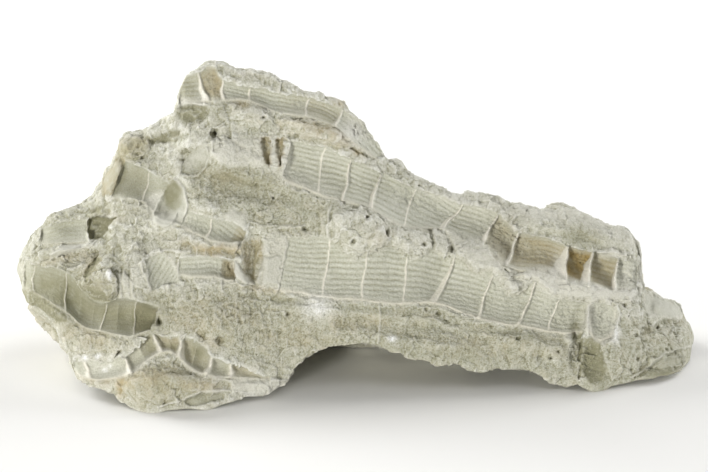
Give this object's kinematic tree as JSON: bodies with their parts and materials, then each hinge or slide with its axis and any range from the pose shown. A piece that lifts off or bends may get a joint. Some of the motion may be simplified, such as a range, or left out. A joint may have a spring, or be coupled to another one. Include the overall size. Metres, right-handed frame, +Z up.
{
  "type": "fossil coral in limestone",
  "caption": "Loose block of pale limestone with hollow, ribbed moulds of a fossil colonial coral across its front face.",
  "frame": {"origin": "bottom centre of the block's bounding box, on the plane that it rests on", "axes": "+X along the block's length to the narrow end, +Y away from the face with the corallites, +Z up"},
  "size_m": [0.1168, 0.049, 0.0514],
  "materials": {
    "limestone": "matte, rough and granular"
  },
  "bodies": {
    "root": {"coral_block": "limestone"}
  },
  "joints": []
}
